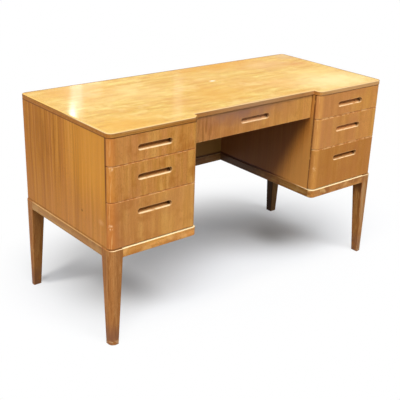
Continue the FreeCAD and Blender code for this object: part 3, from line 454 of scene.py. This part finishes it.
for number, drawer in enumerate(drawers):
    low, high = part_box(drawer + "_front")
    wood = Wood(drawer + "_front_wood", "z", start=(number * 2.7, number * 4.3, number * 1.9))
    looks = front_looks[drawer]
    shade = looks["shade"]
    wear = front_wear[drawer.split("_")[0]]
    # The front's own wood.
    wood.figure([deepen(tone, shade) for tone in front_tones], ribbon=(0.5, 0.022), streak=(0.09, 0.006),
                spread=wear["spread"], calm=0.6)
    wood.lay(wood.fade(wood.streaks(0.035, 0.003), 0.56, 0.72), deepen(colour(236, 180, 104), shade), 0.35)
    wood.lay(wood.fade(wood.blotches(0.14), 0.48, 0.70), deepen(colour(186, 118, 70), shade), 0.5)
    mottled = wood.fade(wood.blotches(0.05, detail=3.0), 0.5, 0.68)
    wood.lay(mottled, deepen(colour(176, 108, 40), shade), looks["mottle"])
    # Painted sheen: rosy towards the left end, golden towards the right.
    wood.lay(wood.fade(wood.x, high.x, low.x), deepen(colour(194, 128, 82), shade), looks["rosy"])
    wood.lay(wood.fade(wood.x, low.x, high.x), deepen(colour(228, 166, 92), shade), looks["golden"])
    if drawer == "right_lower":
        wood.lay(1.0, colour(192, 121, 54), 0.5)
    # Edges, chipped pale where one drawer meets the next, and the scuffed left end.
    edges = wood.near(wood.z, low.z, chip_reach)
    if drawer.endswith(("middle", "lower")):
        edges = wood.either(edges, wood.near(wood.z, high.z, chip_reach))
    # Painted light: the edge faces above and below are pale, to lighten the shade in the gaps.
    wood.lay(wood.fade(wood.work("ABSOLUTE", wood.facing_z), 0.6, 0.9), colour(255, 186, 112), 0.75)
    wood.lay(edges, colour(200, 116, 62), 0.25)
    chips = wood.fade(wood.blotches(0.015), 0.46, 0.58)
    wood.lay(wood.both(edges, chips), colour(250, 204, 138), wear["chips"])
    if drawer.startswith("left"):
        wood.lay(wood.near(wood.x, low.x + 0.008, 0.03), colour(206, 122, 48), 0.5)
    scuffs = wood.both(wood.near(wood.x, low.x + 0.006, 0.008),
                       wood.fade(wood.streaks(0.05, 0.003), 0.55, 0.68))
    wood.lay(scuffs, colour(240, 190, 122), 0.5)
    if drawer in chipped_at:
        torn = wood.both(wood.patch(chipped_at[drawer], (0.009, 0.02, 0.014)),
                         wood.fade(wood.blotches(0.006), 0.46, 0.6))
        wood.lay(torn, colour(255, 222, 172), 0.9)
    # The pull: its hollow in a tone of painted light or shade, a painted shade at its right end, its lower
    # lip rubbed pale and painted with a highlight, and its rim.
    middle_x = (low.x + high.x) / 2
    outside = pull_distance(wood, middle_x, high.z - pull_drops[drawer.split("_")[-1]])
    within = wood.fade(outside, 0.0005, -0.0005)
    wood.lay(within, looks["hollow_light_and_shade"], 0.75)
    painted_end_shade = wood.fade(wood.x, middle_x + 0.046, middle_x + 0.066)
    wood.lay(wood.both(within, painted_end_shade), colour(40, 16, 8), 0.85)
    lip = wood.both(wood.fade(wood.facing_z, 0.5, 0.75),
                    wood.fade(wood.y, low.y + wear["lip_depth"], low.y + wear["lip_depth"] / 3))
    rubbed_and_highlit_lip = wood.both(within, lip, wood.fade(wood.blotches(0.025), 0.25, 0.5))
    wood.lay(rubbed_and_highlit_lip, colour(255, 226, 178), wear["lip"])
    wood.lay(wood.near(outside, 0.0004, 0.0016), colour(236, 186, 122), 0.55)
    # Dirt and painted shade in the seams, and what only some fronts have.
    end_seam = wood.both(wood.fade(wood.y, high.y - 0.006, high.y - 0.002), wood.fade(wood.z, 0.36, 0.60))
    wood.lay(end_seam, seam_dirt_and_shade, 0.75)
    # Painted shade: a dark line along the lower fronts' bottom edge, above the base rail.
    if drawer.endswith("lower"):
        wood.lay(wood.near(wood.z, low.z, 0.003), colour(90, 52, 22), 0.75)
    # Painted highlight along the right fronts' rounded left end.
    if drawer.startswith("right"):
        wood.lay(wood.near(wood.x, low.x + 0.014, 0.02), colour(228, 166, 84), 0.4)
    if drawer == "centre":
        # Painted sheen: a mauve patch across the upper middle.
        wood.lay(wood.patch((-0.06, low.y, high.z), (0.26, 0.1, 0.075)), colour(156, 112, 92), 0.9)
        dark_end = wood.both(wood.near(wood.x, low.x + 0.05, 0.08),
                             wood.fade(wood.streaks(0.06, 0.008), 0.48, 0.6))
        wood.lay(dark_end, colour(140, 88, 38), 0.5)
        # Painted light along the top edge, where the lipping's shadow falls.
        wood.lay(wood.fade(wood.z, high.z - 0.010, high.z - 0.003), colour(226, 172, 116), 0.4)
    wood.varnish(0.42, shine=0.06)
    wood.put_on(drawer + "_front")


# Top: one wide board veneered lengthwise and stepped back between the pedestals, held by screws through the
# top rails. It has faded to gold under clear varnish, with orange and pale patches where things stood on it.

top_tones = colour(208, 148, 49), colour(221, 177, 76), colour(233, 208, 119), colour(226, 176, 84)
top_wood = Wood("top_veneer", "x", start=(6.3, 1.1, 3.9), sway=0.03)
top_wood.figure(top_tones, ribbon=(0.12, 0.026), streak=(0.05, 0.007), spread=0.14)
top_wood.lay(top_wood.fade(top_wood.blotches(0.13, detail=4.0), 0.48, 0.66), colour(210, 146, 50), 0.36)
top_wood.lay(top_wood.fade(top_wood.blotches(0.09, detail=4.0), 0.48, 0.32), colour(240, 214, 138), 0.4)
top_wood.lay(top_wood.fade(top_wood.blotches(0.035), 0.55, 0.72), colour(204, 136, 44), 0.25)


def top_patch(x, y, width, depth, tone, strength):
    """An oval patch of another tone on the top, round this place."""
    top_wood.lay(top_wood.patch((x, y, side_top), (width / 2, depth / 2, 1.0)), tone, strength)


top_patch(0.47, -0.18, 0.56, 0.36, colour(240, 219, 152), 0.85)
top_patch(-0.48, 0.19, 0.46, 0.26, colour(220, 160, 58), 0.7)
top_patch(0.24, 0.25, 0.70, 0.24, colour(214, 150, 14), 0.85)
top_patch(-0.04, -0.09, 0.36, 0.32, colour(216, 158, 34), 0.7)
top_patch(-0.55, -0.22, 0.40, 0.24, colour(226, 168, 54), 0.6)
top_patch(0.42, 0.15, 0.36, 0.24, colour(220, 166, 106), 0.5)
top_patch(0.26, -0.10, 0.28, 0.24, colour(234, 180, 106), 0.4)
top_patch(0.54, 0.11, 0.20, 0.10, colour(206, 134, 46), 0.6)
top_patch(0.60, 0.23, 0.18, 0.18, colour(206, 160, 110), 0.7)
top_patch(0.50, -0.03, 0.36, 0.22, colour(240, 208, 124), 0.55)
top_patch(-0.30, 0.06, 0.40, 0.32, colour(238, 198, 126), 0.4)
top_patch(-0.25, -0.06, 0.06, 0.06, colour(204, 138, 56), 0.45)
top_patch(0.05, 0.06, 0.036, 0.022, colour(255, 246, 226), 0.95)
top_wood.varnish(0.4, shine=0.05, coat=0.2, coat_roughness=0.10)
top_wood.put_on("desktop_panel")


# Lipping: a strip of solid wood glued round the top board and planed flush, eased along its upper edge.
# It is darker than the top where it faces out. Arms have rubbed its eased edge nearly bare along the front.

lip_tones = colour(154, 96, 36), colour(184, 126, 56), colour(204, 150, 82), colour(184, 122, 68)
lip_low, lip_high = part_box("desktop_lipping")
lip_wood = Wood("edge_wood", "x", start=(4.1, 8.7, 2.9))
lip_wood.figure(lip_tones, ribbon=(0.3, 0.010), streak=(0.12, 0.003), spread=0.12)
lip_wood.lay(lip_wood.fade(lip_wood.facing_z, 0.5, 0.95), colour(234, 184, 92), 1.0)
eased = lip_wood.both(lip_wood.fade(lip_wood.z, lip_high.z - 0.0035, lip_high.z - 0.0015),
                      lip_wood.fade(lip_wood.facing_z, 0.98, 0.8))
lip_wood.lay(lip_wood.fade(lip_wood.x, 0.2, 0.4), colour(226, 178, 122), 0.6)
lip_wood.lay(lip_wood.near(lip_wood.x, 0.0, 0.34), colour(184, 148, 116), 0.5)
lip_wood.lay(lip_wood.towards(lip_wood.facing_x, -1), colour(176, 104, 26), 0.5)
lip_wood.lay(eased, colour(140, 102, 48), 0.8)
far_edge = lip_wood.either(lip_wood.fade(lip_wood.x, lip_high.x - 0.009, lip_high.x - 0.006),
                           lip_wood.fade(lip_wood.y, lip_high.y - 0.009, lip_high.y - 0.006))
lip_wood.lay(lip_wood.both(far_edge, lip_wood.fade(lip_wood.facing_z, 0.3, 0.6)), colour(126, 88, 36), 0.85)
rubbed = lip_wood.both(lip_wood.fade(lip_wood.facing_x, 0.3, 0.0), lip_wood.fade(lip_wood.y, 0.02, -0.12))
lip_wood.lay(lip_wood.both(eased, rubbed), colour(252, 222, 166), 0.85)
# A painted shadow under the lipping, over the pedestals.
over_pedestals = lip_wood.fade(lip_wood.work("ABSOLUTE", lip_wood.x), 0.25, 0.33)
lower_edge = lip_wood.fade(lip_wood.z, lip_low.z + 0.002, lip_low.z + 0.0005)
lip_wood.lay(lip_wood.both(lower_edge, over_pedestals), seam_dirt_and_shade, 0.6)
lip_wood.varnish(0.42, shine=0.08)
lip_wood.put_on("desktop_lipping")


# Floor: a plain pale studio floor, painted matt, on which the desk stands free.
# Near the desk it takes the soft shadow, deepest under the pedestals and beside the rear left foot.
# Further off, and in front of the desk, it goes over into plain white.

floor_shape = bmesh.new()
bmesh.ops.create_grid(floor_shape, x_segments=1, y_segments=1, size=30.0)
floor_mesh = bpy.data.meshes.new("studio_floor")
floor_shape.to_mesh(floor_mesh)
floor_shape.free()
floor = bpy.data.objects.new("studio_floor", floor_mesh)
bpy.context.scene.collection.objects.link(floor)
floor_paint = Finish("floor_paint")
rays = floor_paint.add("ShaderNodeLightPath").outputs
mirrored = floor_paint.either(rays["Is Glossy Ray"], rays["Is Transmission Ray"])
seen = floor_paint.either(rays["Is Camera Ray"], mirrored)


def floor_oval(x, y, width, depth):
    """A soft oval on the floor round this place, where the floor is seen."""
    return floor_paint.both(floor_paint.near(floor_paint.x, x, width / 2),
                            floor_paint.near(floor_paint.y, y, depth / 2), seen)


def less(mask, strength):
    """1 where the mask is not, less by this strength where it is."""
    return floor_paint.work("MULTIPLY_ADD", mask, -strength, 1.0)


floor_tones = {0: seen, 6: colour(150, 150, 150), 7: colour(228, 231, 235)}
floor_paint.ground = floor_paint.add("ShaderNodeMix", floor_tones, data_type="RGBA").outputs[2]
# Deeper tones help the shadow under either pedestal.
floor_paint.lay(floor_oval(-0.35, 0.07, 0.24, 0.48), colour(183, 185, 189), 1.0)
floor_paint.lay(floor_oval(0.42, 0.06, 0.24, 0.28), colour(194, 196, 198), 1.0)
matt = floor_paint.add("ShaderNodeBsdfDiffuse", {"Color": floor_paint.ground}).outputs[0]
white = floor_paint.add("ShaderNodeEmission", {"Color": (1.0, 1.0, 1.0, 1.0), "Strength": 1.0}).outputs[0]

shadow_middle = (0.11, 0.08, 0.0)
shadow_reach = (1.12, 0.76, 1.0)
aside = floor_paint.add("ShaderNodeVectorMath", {0: floor_paint.place, 1: shadow_middle},
                        operation="SUBTRACT")
share = floor_paint.add("ShaderNodeVectorMath", {0: aside.outputs[0], 1: shadow_reach}, operation="DIVIDE")
off = floor_paint.add("ShaderNodeVectorMath", {0: share.outputs[0]}, operation="LENGTH")
# The shadow that runs from the rear left foot is kept from whitening.
foot_x = -0.606
foot_y = 0.264
from_foot = floor_paint.work("SUBTRACT", floor_paint.x, foot_x)
shadow_width = floor_paint.work("MULTIPLY_ADD", from_foot, 0.34, 0.028)
across = floor_paint.work("ABSOLUTE", floor_paint.work("SUBTRACT", floor_paint.y, foot_y))
leg_shadow = floor_paint.both(floor_paint.fade(floor_paint.work("DIVIDE", across, shadow_width), 1.2, 0.4),
                              floor_paint.fade(from_foot, 0.0, 0.03), floor_paint.fade(from_foot, 0.30, 0.12))
far_off = floor_paint.both(floor_paint.fade(off.outputs["Value"], 0.27, 1.0), less(leg_shadow, 0.85))
in_front = floor_paint.fade(floor_paint.y, -0.14, -0.30)
before_kneehole = floor_oval(0.12, -0.24, 0.90, 0.46)
still_matt = floor_paint.both(less(far_off, 1.0), less(before_kneehole, 0.6), less(in_front, 0.8))
far = floor_paint.both(less(still_matt, 1.0), seen)
painted = floor_paint.add("ShaderNodeMixShader", {0: far, 1: matt, 2: white}).outputs[0]
floor_paint.tree.links.new(painted, floor_paint.tree.nodes["Material Output"].inputs["Surface"])
floor_paint.tree.nodes.remove(floor_paint.shader)
floor_mesh.materials.append(floor_paint.material)


# Light: two soft lamps high in front, weaker ones overhead, at the left and behind, and a white surround.
# Far behind on the right stand two tall windows, one with a lit curtain beside it and a bare bulb above it.
# They light little, but the varnished top mirrors them as pale bands.

def soft_lamp(name, towards, level, spread):
    """A broad lamp, far off in a direction, that lights level ground by this much of white."""
    lamp = bpy.data.lights.new(name, "SUN")
    direction = Vector(towards).normalized()
    lamp.energy = level * math.pi / direction.z
    lamp.angle = spread
    stand = bpy.data.objects.new(name, lamp)
    stand.rotation_euler = direction.to_track_quat("Z", "Y").to_euler()
    bpy.context.scene.collection.objects.link(stand)


def window_light(name, place, width, height, power):
    """A tall window that faces the middle of the desk's top."""
    light = bpy.data.lights.new(name, "AREA")
    light.shape = "RECTANGLE"
    light.size = width
    light.size_y = height
    light.energy = power
    stand = bpy.data.objects.new(name, light)
    stand.location = place
    from_desk = Vector(place) - Vector((0.0, 0.0, lip_high.z))
    stand.rotation_euler = from_desk.to_track_quat("Z", "Y").to_euler()
    bpy.context.scene.collection.objects.link(stand)


soft_lamp("front_left_lamp", (-0.34, -0.45, 0.83), 0.40, 0.50)
soft_lamp("front_lamp", (0.07, -0.54, 0.83), 0.40, 0.50)
soft_lamp("overhead_lamp", (0.0, -0.05, 1.0), 0.06, 0.80)
soft_lamp("left_lamp", (-0.86, -0.12, 0.50), 0.18, 0.90)
soft_lamp("rear_lamp", (-0.30, 0.90, 0.30), 0.04, 0.90)
window_light("window_light", (1.49, 3.5, 1.60), 0.09, 0.70, 1.05)
window_light("curtain_light", (1.63, 3.5, 1.50), 0.18, 0.60, 0.6)
window_light("further_window_light", (2.58, 3.5, 1.98), 0.08, 0.4, 0.2)
window_light("bare_bulb", (1.45, 3.5, 1.97), 0.04, 0.12, 0.7)

world = bpy.data.worlds.new("studio")
world.use_nodes = True
bpy.context.scene.world = world
tree = world.node_tree
tree.nodes.clear()


def surround(strength):
    """An even white surround of this strength."""
    background = tree.nodes.new("ShaderNodeBackground")
    background.inputs["Color"].default_value = (1.0, 1.0, 1.0, 1.0)
    background.inputs["Strength"].default_value = strength
    return background.outputs[0]


def either_ray(first, second):
    """1 for a ray of one kind or the other."""
    larger = tree.nodes.new("ShaderNodeMath")
    larger.operation = "MAXIMUM"
    tree.links.new(first, larger.inputs[0])
    tree.links.new(second, larger.inputs[1])
    return larger.outputs[0]


path = tree.nodes.new("ShaderNodeLightPath").outputs
mirrored_ray = either_ray(path["Is Glossy Ray"], path["Is Transmission Ray"])
choose = tree.nodes.new("ShaderNodeMixShader")
tree.links.new(either_ray(path["Is Camera Ray"], mirrored_ray), choose.inputs[0])
tree.links.new(surround(0.22), choose.inputs[1])
tree.links.new(surround(1.0), choose.inputs[2])
world_output = tree.nodes.new("ShaderNodeOutputWorld")
tree.links.new(choose.outputs[0], world_output.inputs["Surface"])


# Camera: above the front left corner, where the photograph was taken, with the lens that gives its frame.
# The picture's middle lies a little off the lens's axis, as in a cropped photograph.

camera_place = (-1.86371, -2.17893, 1.46566)
turned_right = 0.70860
tilted_down = 0.41067
leaning = 0.03996
camera = bpy.data.cameras.new("camera")
camera.sensor_width = 36.0
camera.lens = 71.266
camera.shift_x = -0.02
camera.shift_y = 0.04
camera_stand = bpy.data.objects.new("camera", camera)
heading = Matrix.Rotation(-turned_right, 3, "Z")
tilt = Matrix.Rotation(math.pi / 2 - tilted_down, 3, "X")
roll = Matrix.Rotation(leaning, 3, "Z")
camera_stand.matrix_world = Matrix.LocRotScale(camera_place, heading @ tilt @ roll, None)
bpy.context.scene.collection.objects.link(camera_stand)
bpy.context.scene.camera = camera_stand
bpy.context.scene.view_settings.view_transform = "Standard"
